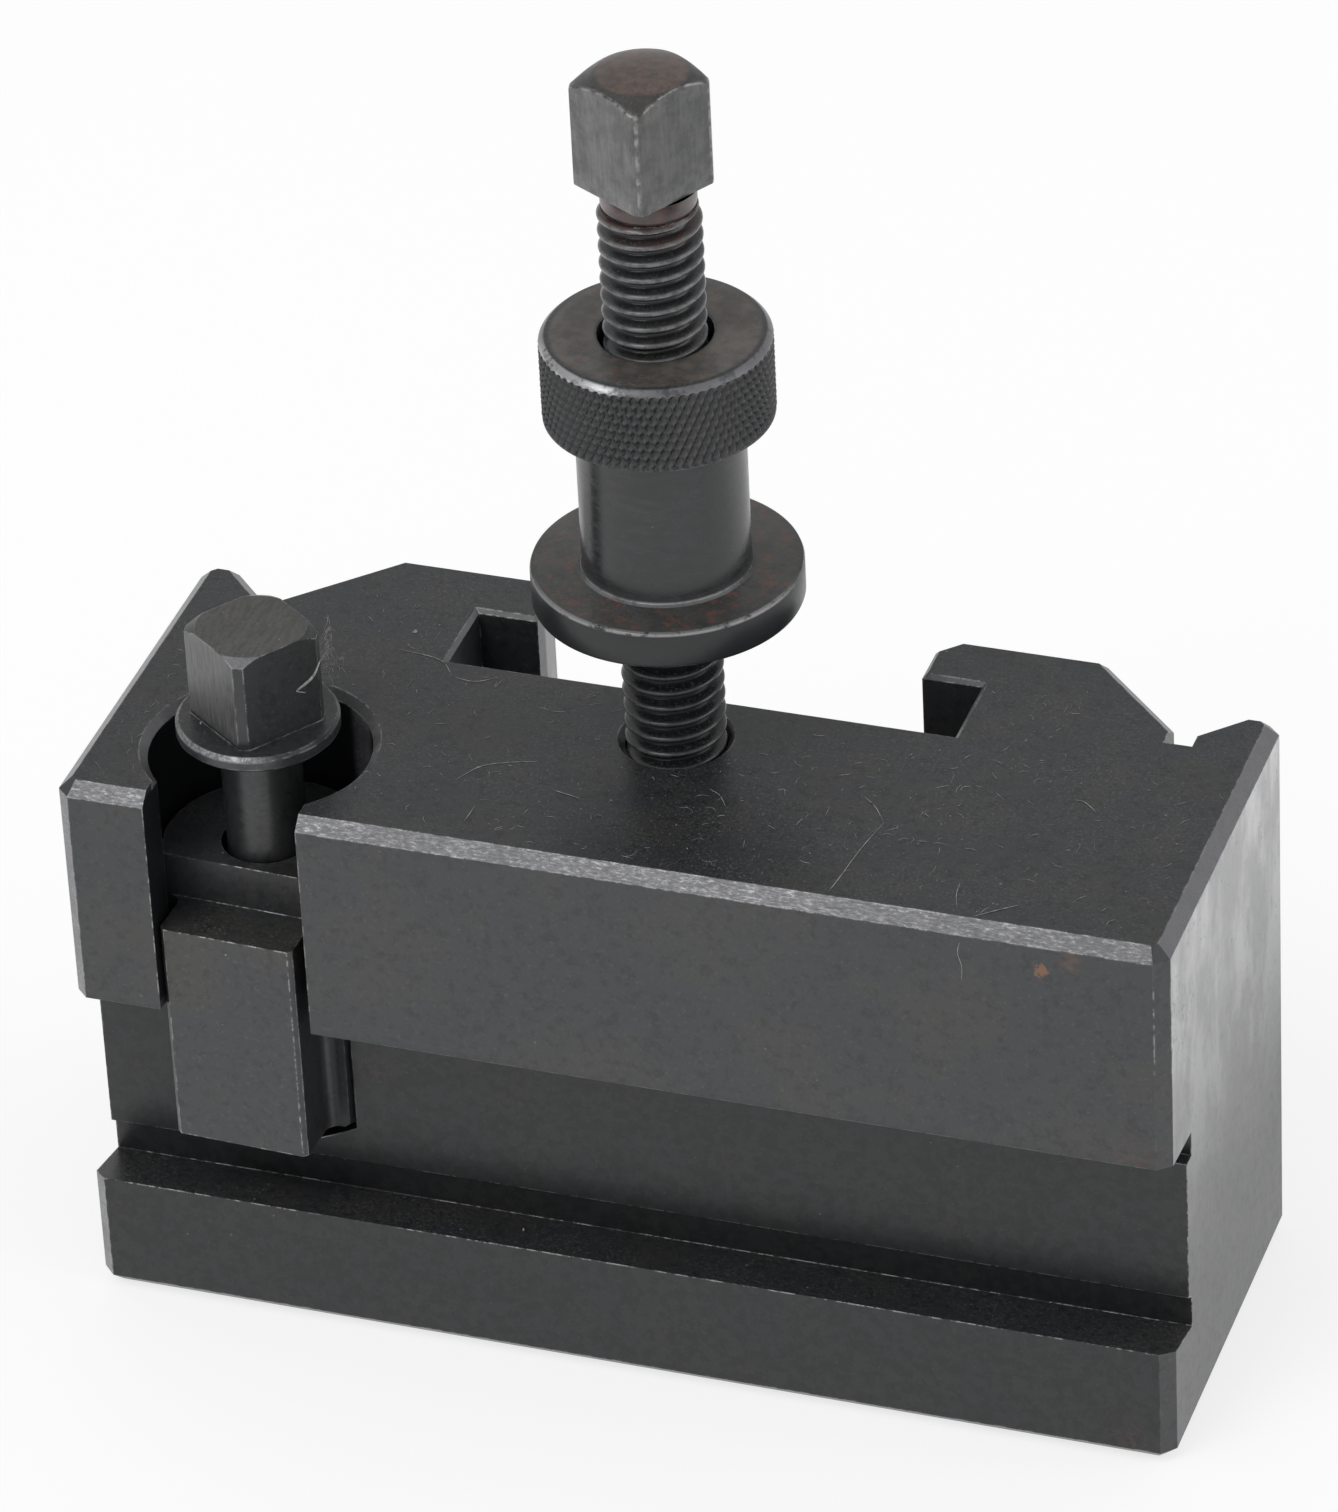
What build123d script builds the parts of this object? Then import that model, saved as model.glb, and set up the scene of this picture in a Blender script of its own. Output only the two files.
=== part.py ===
from build123d import *
import math
import os

# Quick-change tool post holder for a parting (cut-off) blade, in millimetres.
# X runs along the holder, Y from the blade side (front) to the tool post side
# (back), Z up.  The origin is the middle of the base.

# ---- holder body: block ----
body_length = 88.9
body_depth = 37.55            # front face to the backs of the two hooks
body_height = 48.3
edge_chamfer = 1.05           # all outer edges of the block

# ---- holder body: back, where the tool post takes hold ----
slot_floor_depth = 24.15      # front face to the floor of the T-slot
slot_width = 41.5             # T-slot behind the hooks
hook_thickness = 6.1
mouth_width = 31.7            # between the hook tips
tip_corner = 2.4              # 45 degree corner at the back of each hook tip
slot_edge_break = 0.35        # top and bottom edges of the T-slot
vee_from_end = 6.78           # end face to the bottom of a V-groove
vee_depth = 29.03             # front face to the bottom of a V-groove
vee_relief_width = 2.3
vee_relief_depth = 1.83       # below the bottom of the V
ear_rise = 3.92               # bottom of a V-groove to the back of an end ear

# ---- holder body: blade seat along the front ----
seat_depth = 4.8              # front face to the wall the blade lies on
rail_height = 10.68           # base to the front edge of the lower rail
rail_tilt = 11.5              # degrees, the rail rises towards the front
overhang_height = 28.28       # base to the front edge of the upper lip
overhang_tilt = 4.6           # degrees, the lip rises towards the front
lower_relief_depth = 0.8      # behind the seat wall
lower_relief_top = 12.8       # above the base
upper_relief_depth = 1.2
upper_relief_bottom = 25.6    # above the base

# ---- holder body: clamp bore and its slot through the upper lip ----
bore_from_end = 13.55         # left end to the bore axis
bore_from_front = 9.35        # front face to the bore axis
bore_diameter = 17.5
bore_floor_height = 16.0      # base to the end of the straight wall
bore_rim_chamfer = 0.65
drill_point_angle = 118.0
clamp_slot_width = 12.5

# ---- clamp: round plug with a tongue in front ----
plug_clearance = 0.25
plug_height = 23.4
plug_flat_offset = 4.35       # bore axis to the flat in front
plug_rim_chamfer = 0.4
tongue_width = 11.15
tongue_reach = 9.0            # bore axis to the front of the tongue
tongue_height = 19.6
tongue_bevel = 0.35
tongue_root_fillet = 1.0
clamp_hole_clearance = 0.35   # around the screw's shank
clamp_turn = -2.5             # degrees, how the loose clamp stands in its slot
clamp_shift = -0.12           # along X, the loose clamp leans on the bore wall

# ---- clamp screw ----
screw_diameter = 6.35
screw_running_clearance = 0.05
screw_rise = 1.5              # body top to the underside of the collar
screw_tip_height = 4.5        # base to the tip
tapped_hole_floor = 2.0       # base to the bottom of the screw's tapped hole
tip_chamfer = 0.8
collar_diameter = 12.8
collar_thickness = 1.3
collar_chamfer = 0.25
screw_head_flats = 7.94
screw_head_corner_diameter = 10.4
screw_head_height = 8.0
screw_head_angle = 54.0       # degrees, how the square stands
head_chamfer_angle = 30.0
screw_head_top_diameter = 8.7

# ---- height stud ----
stud_from_front = 18.5
stud_diameter = 7.94
stud_running_clearance = 0.03
stud_hole_depth = 15.0
stud_engagement = 13.0        # length of stud inside the body
stud_hole_rim_diameter = 9.1
stud_thread_rise = 47.7       # body top to the end of the thread
stud_neck_diameter = 7.3
stud_neck_length = 1.7
stud_head_flats = 7.8
stud_head_corner_diameter = 10.4
stud_head_height = 9.4        # underside to the foot of the dome
stud_head_angle = 60.2
stud_head_offset = -0.3       # along X, the square stands off the thread's axis
stud_crown_foot_diameter = 7.1
stud_crown_height = 0.5

# ---- height nut ----
nut_rise = 13.2               # body top to the underside of the flange
flange_diameter = 21.0
flange_thickness = 3.1
flange_bevel = 0.3
sleeve_diameter = 13.0
sleeve_length = 13.0
sleeve_foot_fillet = 0.45
knurl_head_diameter = 17.75
knurl_head_length = 7.3
knurl_head_top_chamfer = 0.4
knurl_head_bottom_chamfer = 0.7
nut_counterbore_diameter = 8.75
nut_counterbore_depth = 4.0
nut_thread_clearance = 0.05

front_y = -body_depth / 2
left_x = -body_length / 2
bore_x = left_x + bore_from_end
bore_y = front_y + bore_from_front
bore_radius = bore_diameter / 2
stud_y = front_y + stud_from_front
vee_x = body_length / 2 - vee_from_end


def tilt_drop(run, degrees):
    """Height lost over a horizontal run on a slope."""
    return run * math.tan(math.radians(degrees))


def cone_depth(radius):
    """Depth of a drill point of this radius."""
    return radius / math.tan(math.radians(drill_point_angle / 2))


def turned(profile_points):
    """Solid turned about the Z axis from (radius, height) points."""
    outline = make_face(Polyline([(r, 0, z) for r, z in profile_points], close=True))
    return revolve(outline, Axis.Z)


def square_bar(flats, bottom, top, angle):
    """Square prism standing on Z, turned by angle degrees."""
    bar = Box(flats, flats, top - bottom)
    return Pos(0, 0, (bottom + top) / 2) * Rot(0, 0, angle) * bar


def mirrored(right):
    """Closed plan face from its right half, given as (x, depth from the front) points."""
    left = [(-x, depth) for x, depth in reversed(right)]
    plan = [(x, front_y + depth) for x, depth in right + left]
    return make_face(Polyline(plan, close=True))


def chamfered_block():
    """The block with its two V-grooves, every outer edge chamfered."""
    flank_start = vee_x - (body_depth - vee_depth)
    ear_start = vee_x + ear_rise
    ear_depth = vee_depth + ear_rise
    plan = mirrored([
        (flank_start, body_depth),
        (vee_x, vee_depth),
        (ear_start, ear_depth),
        (body_length / 2, ear_depth),
        (body_length / 2, 0),
    ])
    block = extrude(plan, body_height)
    uprights = [
        edge
        for edge in block.edges().filter_by(Axis.Z)
        if abs(abs(edge.center().X) - body_length / 2) < 0.01
    ]
    block = chamfer(uprights, edge_chamfer)
    rims = block.faces().sort_by(Axis.Z)
    return chamfer(rims[0].edges() + rims[-1].edges(), edge_chamfer)


def post_slot():
    """T-slot for the tool post's clamp: a cutter with its top and bottom edges flared."""
    half_slot = slot_width / 2
    half_mouth = mouth_width / 2
    hook_front = body_depth - hook_thickness
    past_back = 2.0
    plan = mirrored([
        (half_slot, slot_floor_depth),
        (half_slot, hook_front),
        (half_mouth, hook_front),
        (half_mouth, body_depth - tip_corner),
        (half_mouth + tip_corner + past_back, body_depth + past_back),
    ])
    upper = Pos(0, 0, body_height - slot_edge_break) * plan
    lower = Pos(0, 0, slot_edge_break) * plan
    return [
        extrude(plan, body_height),
        extrude(upper, slot_edge_break, taper=-45),
        extrude(lower, slot_edge_break, dir=(0, 0, -1), taper=-45),
    ]


def vee_reliefs():
    """Narrow grooves along the bottoms of the two V-grooves."""
    bottom = front_y + vee_depth - vee_relief_depth
    length = vee_relief_depth + vee_relief_width
    groove = Box(vee_relief_width, length, 2 * body_height)
    return [
        Pos(x, bottom + length / 2, body_height) * groove
        for x in (-vee_x, vee_x)
    ]


def blade_seat():
    """Undercut channel that the blade slides along, right through both ends."""
    past_front = -2.0
    back_low = seat_depth + lower_relief_depth
    back_high = seat_depth + upper_relief_depth
    section = [
        (past_front, rail_height + tilt_drop(-past_front, rail_tilt)),
        (back_low, rail_height - tilt_drop(back_low, rail_tilt)),
        (back_low, lower_relief_top - lower_relief_depth / 2),
        (seat_depth, lower_relief_top),
        (seat_depth, upper_relief_bottom),
        (back_high, upper_relief_bottom),
        (back_high, overhang_height - tilt_drop(back_high, overhang_tilt)),
        (past_front, overhang_height + tilt_drop(-past_front, overhang_tilt)),
    ]
    wire = Polyline([(0, front_y + depth, height) for depth, height in section], close=True)
    return extrude(make_face(wire), body_length, dir=(1, 0, 0), both=True)


def clamp_bore():
    """Flat-walled slot, round bore with a drill point, and the screw's tapped hole."""
    rim = bore_radius + bore_rim_chamfer
    tapped = screw_diameter / 2 + screw_running_clearance
    hollow = turned([
        (0, tapped_hole_floor),
        (tapped, tapped_hole_floor),
        (tapped, bore_floor_height - cone_depth(bore_radius - tapped)),
        (bore_radius, bore_floor_height),
        (bore_radius, body_height - bore_rim_chamfer),
        (rim + 1.0, body_height + 1.0),
        (0, body_height + 1.0),
    ])
    slot_length = bore_from_front + 2.0
    slot_height = body_height - bore_floor_height + 1.0
    slot = Box(clamp_slot_width, slot_length, slot_height)
    slot_middle = bore_floor_height + slot_height / 2
    return [
        Pos(bore_x, bore_y, 0) * hollow,
        Pos(bore_x, bore_y - slot_length / 2, slot_middle) * slot,
    ]


def stud_hole():
    """Tapped hole for the height stud, with its rim and drill point."""
    radius = stud_diameter / 2 + stud_running_clearance
    rim = stud_hole_rim_diameter / 2
    floor = body_height - stud_hole_depth
    hollow = turned([
        (0, floor - cone_depth(radius)),
        (radius, floor),
        (radius, body_height - (rim - radius)),
        (rim + 1.0, body_height + 1.0),
        (0, body_height + 1.0),
    ])
    return Pos(0, stud_y, 0) * hollow


def make_holder_body():
    cutters = post_slot() + vee_reliefs() + [blade_seat()] + clamp_bore() + [stud_hole()]
    return chamfered_block() - cutters


def make_clamp():
    """Plug with a flat in front, and the tongue that presses on the blade."""
    plug_radius = bore_radius - plug_clearance
    bottom = bore_floor_height
    top = bottom + plug_height
    bevel = plug_rim_chamfer
    plug = turned([
        (0, bottom),
        (plug_radius - bevel, bottom),
        (plug_radius, bottom + bevel),
        (plug_radius, top - bevel),
        (plug_radius - bevel, top),
        (0, top),
    ])
    size = 2 * plug_radius
    front = Pos(0, -plug_flat_offset - size / 2, (bottom + top) / 2) * Box(2 * size, size, 2 * size)
    plug = plug - front

    tongue_depth = tongue_reach - plug_flat_offset
    lap = plug_flat_offset / 4
    tongue = Box(tongue_width, tongue_depth + lap, tongue_height)
    tongue = Pos(0, -tongue_reach + (tongue_depth + lap) / 2, bottom + tongue_height / 2) * tongue
    leading = tongue.edges().filter_by(Axis.Z).group_by(Axis.Y)[0]
    tongue = chamfer(leading, tongue_bevel)

    clamp = plug + tongue
    roots = [
        edge
        for edge in clamp.edges().filter_by(Axis.Z)
        if abs(abs(edge.center().X) - tongue_width / 2) < 0.01
        and abs(edge.center().Y + plug_flat_offset) < 0.01
    ]
    clamp = fillet(roots, tongue_root_fillet)
    hole = Cylinder(screw_diameter / 2 + clamp_hole_clearance, 4 * plug_height)
    clamp = clamp - hole
    return Pos(bore_x + clamp_shift, bore_y, 0) * Rot(0, 0, clamp_turn) * clamp


def make_clamp_screw():
    """Square-headed screw with a collar that bears on the clamp's plug."""
    under = body_height + screw_rise
    collar_top = under + collar_thickness
    head_top = collar_top + screw_head_height
    shank = screw_diameter / 2
    collar = collar_diameter / 2
    screw = turned([
        (0, screw_tip_height),
        (shank - tip_chamfer, screw_tip_height),
        (shank, screw_tip_height + tip_chamfer),
        (shank, under),
        (collar - collar_chamfer, under),
        (collar, under + collar_chamfer),
        (collar, collar_top - collar_chamfer),
        (collar - collar_chamfer, collar_top),
        (0, collar_top),
    ])
    corner = screw_head_corner_diameter / 2
    crown = screw_head_top_diameter / 2
    shoulder = head_top - tilt_drop(corner - crown, head_chamfer_angle)
    turned_head = turned([
        (0, collar_top),
        (corner, collar_top),
        (corner, shoulder),
        (crown, head_top),
        (0, head_top),
    ])
    head = turned_head & square_bar(screw_head_flats, collar_top, head_top, screw_head_angle)
    return Pos(bore_x, bore_y, 0) * (screw + head)


def make_height_stud():
    """Threaded stud with a neck and a square head with a domed top."""
    bottom = body_height - stud_engagement
    thread_end = body_height + stud_thread_rise
    under = thread_end + stud_neck_length
    head_top = under + stud_head_height
    radius = stud_diameter / 2
    neck = stud_neck_diameter / 2
    stud = turned([
        (0, bottom),
        (radius - tip_chamfer, bottom),
        (radius, bottom + tip_chamfer),
        (radius, thread_end - (radius - neck)),
        (neck, thread_end),
        (neck, under),
        (0, under),
    ])
    corner = stud_head_corner_diameter / 2
    reach = corner + abs(stud_head_offset)
    foot = stud_crown_foot_diameter / 2
    shoulder = head_top - tilt_drop(reach - foot, head_chamfer_angle)
    outline = Polyline([
        (0, 0, head_top + stud_crown_height),
        (0, 0, under),
        (reach, 0, under),
        (reach, 0, shoulder),
        (foot, 0, head_top),
    ])
    crown_radius = (foot ** 2 + stud_crown_height ** 2) / (2 * stud_crown_height)
    middle = foot / 2
    rise = math.sqrt(crown_radius ** 2 - middle ** 2) - (crown_radius - stud_crown_height)
    dome = ThreePointArc(
        (foot, 0, head_top),
        (middle, 0, head_top + rise),
        (0, 0, head_top + stud_crown_height),
    )
    turned_head = revolve(make_face([outline, dome]), Axis.Z)
    bar_top = head_top + stud_crown_height
    bar = square_bar(stud_head_flats, under, bar_top, stud_head_angle)
    bar = bar & turned([(0, under), (corner, under), (corner, bar_top), (0, bar_top)])
    head = turned_head & Pos(stud_head_offset, 0, 0) * bar
    return Pos(0, stud_y, 0) * (stud + head)


def make_height_nut():
    """Knurled head, sleeve and flange, bored for the stud."""
    bottom = body_height + nut_rise
    flange_top = bottom + flange_thickness
    head_bottom = flange_top + sleeve_length
    top = head_bottom + knurl_head_length
    flange = flange_diameter / 2
    sleeve = sleeve_diameter / 2
    knurl = knurl_head_diameter / 2
    nut = turned([
        (0, bottom),
        (flange - flange_bevel, bottom),
        (flange, bottom + flange_bevel),
        (flange, flange_top - flange_bevel),
        (flange - flange_bevel, flange_top),
        (sleeve, flange_top),
        (sleeve, head_bottom),
        (knurl - knurl_head_bottom_chamfer, head_bottom),
        (knurl, head_bottom + knurl_head_bottom_chamfer),
        (knurl, top - knurl_head_top_chamfer),
        (knurl - knurl_head_top_chamfer, top),
        (0, top),
    ])
    foot = [
        edge
        for edge in nut.edges().filter_by(GeomType.CIRCLE)
        if abs(edge.radius - sleeve) < 0.01 and abs(edge.center().Z - flange_top) < 0.01
    ]
    nut = fillet(foot, sleeve_foot_fillet)
    thread = stud_diameter / 2 + nut_thread_clearance
    counterbore = nut_counterbore_diameter / 2
    hollow = turned([
        (0, bottom - 1.0),
        (thread, bottom - 1.0),
        (thread, top - nut_counterbore_depth),
        (counterbore, top - nut_counterbore_depth),
        (counterbore, top + 1.0),
        (0, top + 1.0),
    ])
    return Pos(0, stud_y, 0) * (nut - hollow)


pieces = {
    "holder_body": make_holder_body(),
    "clamp": make_clamp(),
    "clamp_screw": make_clamp_screw(),
    "height_stud": make_height_stud(),
    "height_nut": make_height_nut(),
}

os.makedirs("parts", exist_ok=True)
for name, shape in pieces.items():
    export_step(shape, f"parts/{name}.step")
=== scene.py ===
import math
import random

import bmesh
import bpy
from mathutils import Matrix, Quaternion, Vector


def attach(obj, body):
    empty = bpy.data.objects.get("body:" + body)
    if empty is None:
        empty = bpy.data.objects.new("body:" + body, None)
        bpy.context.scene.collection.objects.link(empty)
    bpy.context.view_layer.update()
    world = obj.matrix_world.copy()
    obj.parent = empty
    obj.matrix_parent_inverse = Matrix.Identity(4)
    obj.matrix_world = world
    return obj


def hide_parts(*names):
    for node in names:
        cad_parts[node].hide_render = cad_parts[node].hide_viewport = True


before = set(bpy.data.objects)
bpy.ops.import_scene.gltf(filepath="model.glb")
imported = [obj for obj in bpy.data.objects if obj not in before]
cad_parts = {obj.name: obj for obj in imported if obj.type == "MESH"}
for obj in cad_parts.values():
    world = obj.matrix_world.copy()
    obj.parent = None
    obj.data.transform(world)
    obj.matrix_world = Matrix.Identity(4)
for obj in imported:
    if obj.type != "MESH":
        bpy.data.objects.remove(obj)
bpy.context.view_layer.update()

# Lengths are millimetres in the frame of the CAD, and angles degrees, unless a comment says otherwise.
MM = 0.001

# ---- camera, solved from the straight edges of the block in the photograph ----
CAMERA_PLACE = (0.19560, -0.53736, 0.43194)  # metres
CAMERA_AZIMUTH = 20.075  # from the front towards the right
CAMERA_ELEVATION = 33.994
CAMERA_ROLL = -2.987
FOCAL_LENGTH = 212.5
SENSOR_WIDTH = 36

# ---- block and its clamp bore ----
BLOCK_END = 44.45  # right end face, along X
BLOCK_FRONT = -18.775  # along Y
BLOCK_TOP = 48.3
BORE_PLACE = (-30.9, -9.425)
BORE_RADIUS = 8.75

# ---- clamp screw ----
COLLAR_RADIUS = 6.4
COLLAR_TOP = 51.1
SCREW_HEAD_TOP = 59.1

# ---- threaded stud ----
STUD_Y = -0.275
STUD_FOOT = 35.3
THREAD_TOP = 96.0
THREAD_PITCH = 1.411
CREST_RADIUS = 3.97
ROOT_RADIUS = 3.17
THREAD_STEPS = 80  # points round one turn
THREAD_LEAD = 0.8  # height over which the thread grows at the foot
THREAD_RUNOUT = 0.35  # height over which it ends at the neck
NECK_RADIUS = 3.65
NECK_STEPS = 64
HEAD_FOOT = 97.7
HEAD_TOP = 107.1
HEAD_FLATS = 7.8
HEAD_CORNER_RADIUS = 5.2
HEAD_TURN = 60.2
HEAD_OFFSET = -0.3  # along X
HEAD_STEPS = 120
CROWN_FOOT_RADIUS = 3.55
CROWN_HEIGHT = 0.5
CHAMFER_SLOPE = math.tan(math.radians(30))
HEAD_EASE = 0.16  # rounding of the worn edges of the head

# ---- knurled nut ----
NUT_FOOT = 61.5
FLANGE_TOP = 64.6
FLANGE_RADIUS = 10.5
SLEEVE_RADIUS = 6.5
FLANGE_EASE = 0.3
SLEEVE_STEPS = 192
KNURL_FOOT = 77.6
NUT_TOP = 84.9
KNURL_RADIUS = 8.875
KNURL_DEPTH = 0.30
KNURL_TURNS = 74  # ridges of each hand round the head
KNURL_LEAN = 27  # from the axis
KNURL_HANDS = ((-1, 1.0), (1, 0.8))  # direction of each set of grooves, share of the depth
KNURL_STEPS = KNURL_TURNS * 8
KNURL_LEVELS = 52
COUNTERBORE_RADIUS = 4.375
COUNTERBORE_FLOOR = 80.9
NUT_BORE_RADIUS = 4.02


# ======== meshes ========

def finished(name, mesh, sharp_degrees=32):
    """Object from a mesh given in millimetres, smooth but for its sharp edges."""
    for vertex in mesh.vertices:
        vertex.co *= MM
    mesh.polygons.foreach_set("use_smooth", [True] * len(mesh.polygons))
    mesh.set_sharp_from_angle(angle=math.radians(sharp_degrees))
    item = bpy.data.objects.new(name, mesh)
    bpy.context.scene.collection.objects.link(item)
    return item


def turn_faces_out(mesh, merge=None):
    """Points every face outwards, after joining points closer than merge."""
    shape = bmesh.new()
    shape.from_mesh(mesh)
    if merge:
        bmesh.ops.remove_doubles(shape, verts=shape.verts, dist=merge)
    bmesh.ops.recalc_face_normals(shape, faces=shape.faces)
    shape.to_mesh(mesh)
    shape.free()


def add_rows(points, faces, rows, closed=True):
    """Joins rows of points, each with the same number, into quads."""
    start = len(points)
    count = len(rows[0])
    for row in rows:
        points.extend(row)
    last = count if closed else count - 1
    for i in range(len(rows) - 1):
        for j in range(last):
            a = start + i * count + j
            b = start + i * count + (j + 1) % count
            faces.append((a, b, b + count, a + count))


def ring(radius, height, count, middle=(0.0, 0.0)):
    """Points round a circle."""
    angles = [2 * math.pi * j / count for j in range(count)]
    return [
        (middle[0] + radius * math.cos(angle), middle[1] + radius * math.sin(angle), height)
        for angle in angles
    ]


def stud_rings(profile, count):
    """Rings round the stud's axis, one for each (radius, height)."""
    return [ring(radius, height, count, (0, STUD_Y)) for radius, height in profile]


def eased(profile, ease):
    """Profile of (radius, height) points with each corner between its ends cut to three points."""
    result = [profile[0]]
    for before, corner, after in zip(profile, profile[1:], profile[2:]):
        before, corner, after = Vector(before), Vector(corner), Vector(after)
        first = before - corner
        second = after - corner
        reach = min(ease, first.length * 0.45, second.length * 0.45)
        start = corner + first.normalized() * reach
        end = corner + second.normalized() * reach
        middle = (start + end) / 2 * 0.55 + corner * 0.45
        result += [tuple(start), tuple(middle), tuple(end)]
    result.append(profile[-1])
    return result


# ======== threaded stud ========

def thread_profile():
    """(fraction of a pitch, radius) over one turn: crest flat, flank, rounded root."""
    depth = CREST_RADIUS - ROOT_RADIUS
    shape = [
        (-0.11, 0.10), (-0.06, 0.02), (0.0, 0.0), (0.06, 0.02), (0.11, 0.10),
        (0.18, 0.32), (0.26, 0.62), (0.34, 0.86), (0.42, 0.97),
        (0.50, 1.0), (0.58, 0.97), (0.66, 0.86), (0.74, 0.62), (0.82, 0.32),
    ]
    return [(place, CREST_RADIUS - depth * fall) for place, fall in shape]


def thread_point(radius, along, angle):
    """Point of the thread, held between its flat foot and the neck."""
    height = STUD_FOOT + THREAD_PITCH * along
    fade = max(0.0, min(1.0, (THREAD_TOP - height) / THREAD_RUNOUT))
    lead = max(0.0, min(1.0, (height - STUD_FOOT) / THREAD_LEAD))
    radius = radius * fade + min(radius, NECK_RADIUS) * (1 - fade)
    radius = min(radius, ROOT_RADIUS + (CREST_RADIUS - ROOT_RADIUS) * lead + 0.001)
    height = max(STUD_FOOT, min(THREAD_TOP, height))
    return radius * math.cos(angle), STUD_Y + radius * math.sin(angle), height


def thread_rows():
    """Helical rows of the thread, from below its foot to above its top."""
    turns = int((THREAD_TOP - STUD_FOOT) / THREAD_PITCH) + 3
    return [
        [
            thread_point(radius, turn + place + j / THREAD_STEPS, 2 * math.pi * j / THREAD_STEPS)
            for j in range(THREAD_STEPS + 1)
        ]
        for turn in range(-1, turns)
        for place, radius in thread_profile()
    ]


def head_outline(angle):
    """Distance from the thread's axis to the head's side, in this direction (radians)."""
    direction = Vector((math.cos(angle), math.sin(angle)))
    offset = Vector((HEAD_OFFSET, 0))
    nearest = math.inf
    for quarter in range(4):
        turn = math.radians(HEAD_TURN) + quarter * math.pi / 2
        normal = Vector((math.cos(turn), math.sin(turn)))
        facing = direction.dot(normal)
        if facing > 1e-6:
            nearest = min(nearest, (HEAD_FLATS / 2 + offset.dot(normal)) / facing)
    side = offset.dot(direction)
    circle = side + math.sqrt(side * side - offset.dot(offset) + HEAD_CORNER_RADIUS ** 2)
    return min(nearest, circle)


def dome_height(radius):
    """Height of the head's top over this distance from the axis."""
    if radius >= CROWN_FOOT_RADIUS:
        return HEAD_TOP - (radius - CROWN_FOOT_RADIUS) * CHAMFER_SLOPE
    return HEAD_TOP + CROWN_HEIGHT * (1 - (radius / CROWN_FOOT_RADIUS) ** 2)


def on_dome(radius):
    return radius, dome_height(radius)


def head_corners():
    """Directions of the head's corners, in radians."""
    return [math.radians(HEAD_TURN) + math.pi / 4 + quarter * math.pi / 2 for quarter in range(4)]


def head_angles():
    """Directions to cut the head at: even ones, and close ones at its corners."""
    wanted = [2 * math.pi * j / HEAD_STEPS for j in range(HEAD_STEPS)]
    for corner in head_corners():
        wanted += [corner + math.radians(d) for d in (-5, -4, -3.4, -3, -2.4, 2.4, 3, 3.4, 4, 5)]
    return sorted({round(a % (2 * math.pi), 5) for a in wanted})


def head_rows(angles):
    """Square head as rows round the axis: underside, sides, chamfer and crown."""
    sides = [head_outline(a) for a in angles]

    def row(place):
        """One row; place turns the distance to the side into (radius, height)."""
        result = []
        for angle, side in zip(angles, sides):
            radius, height = place(side)
            result.append((radius * math.cos(angle), STUD_Y + radius * math.sin(angle), height))
        return result

    def on_chamfer(side, part):
        """This part of the way from the crown's foot out to the eased edge."""
        foot = CROWN_FOOT_RADIUS + 0.1
        edge = side - HEAD_EASE
        return on_dome(foot + (edge - foot) * part if edge > foot else edge)

    inset = HEAD_EASE * 0.3
    rows = [
        row(lambda s: (NECK_RADIUS - 0.3, HEAD_FOOT)),
        row(lambda s: (s - HEAD_EASE, HEAD_FOOT)),
        row(lambda s: (s - inset, HEAD_FOOT + inset)),
        row(lambda s: (s, HEAD_FOOT + HEAD_EASE)),
    ]
    for part in (0.2, 0.4, 0.6, 0.8):
        rows.append(row(lambda s: (s, HEAD_FOOT + (dome_height(s) - HEAD_FOOT) * part)))
    rows += [
        row(lambda s: (s, dome_height(s) - HEAD_EASE)),
        row(lambda s: (s - inset, dome_height(s - inset) - HEAD_EASE * 0.22)),
        row(lambda s: on_dome(s - HEAD_EASE)),
    ]
    for part in (0.75, 0.5, 0.25):
        rows.append(row(lambda s: on_chamfer(s, part)))
    for radius in (CROWN_FOOT_RADIUS + 0.1, CROWN_FOOT_RADIUS - 0.1, 2.9, 2.2, 1.4, 0.6, 0.02):
        rows.append(row(lambda s: on_dome(min(radius, s - HEAD_EASE))))
    return rows


def head_wear_and_highlight(angles, count):
    """How bright each point of the head's rows is: rubbed on its eased rows, and a painted highlight left
    of its corners.
    """
    eased_rows = {2: 0.30, 3: 0.15, 8: 0.10, 9: 0.75, 10: 0.25}
    upright_rows = range(3, 10)
    corners = head_corners()
    result = []
    for index in range(count):
        for angle in angles:
            off = min((math.remainder(angle - corner, 2 * math.pi) for corner in corners), key=abs)
            # Painted highlight: a bright strip just left of each corner.
            beside = index in upright_rows and math.radians(-4.2) < off < math.radians(-2.2)
            result.append(max(eased_rows.get(index, 0.0), 0.5 if beside else 0.0))
    return result


def make_stud():
    points, faces = [], []
    add_rows(points, faces, thread_rows(), closed=False)
    foot = ((0.05, STUD_FOOT), (ROOT_RADIUS, STUD_FOOT))
    neck = (
        (ROOT_RADIUS - 0.1, THREAD_TOP - 1.2), (NECK_RADIUS - 0.25, THREAD_TOP - 0.1),
        (NECK_RADIUS - 0.05, THREAD_TOP + 0.1), (NECK_RADIUS, THREAD_TOP + 0.4),
        (NECK_RADIUS, HEAD_FOOT - 0.25), (NECK_RADIUS + 0.2, HEAD_FOOT),
    )
    for profile in (foot, neck):
        add_rows(points, faces, stud_rings(profile, NECK_STEPS))
    unrubbed = [0.0] * len(points)
    angles = head_angles()
    head = head_rows(angles)
    add_rows(points, faces, head)
    mesh = bpy.data.meshes.new("threaded_stud")
    mesh.from_pydata(points, [], faces)
    rubbed_and_highlight = mesh.attributes.new("rubbed_and_highlight", "FLOAT", "POINT")
    rubbed_and_highlight.data.foreach_set("value", unrubbed + head_wear_and_highlight(angles, len(head)))
    turn_faces_out(mesh, merge=0.0005)
    stud = finished("threaded_stud", mesh, 40)
    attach(stud, "height_stud")
    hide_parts("height_stud")
    return stud


# ======== knurled nut ========

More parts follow.
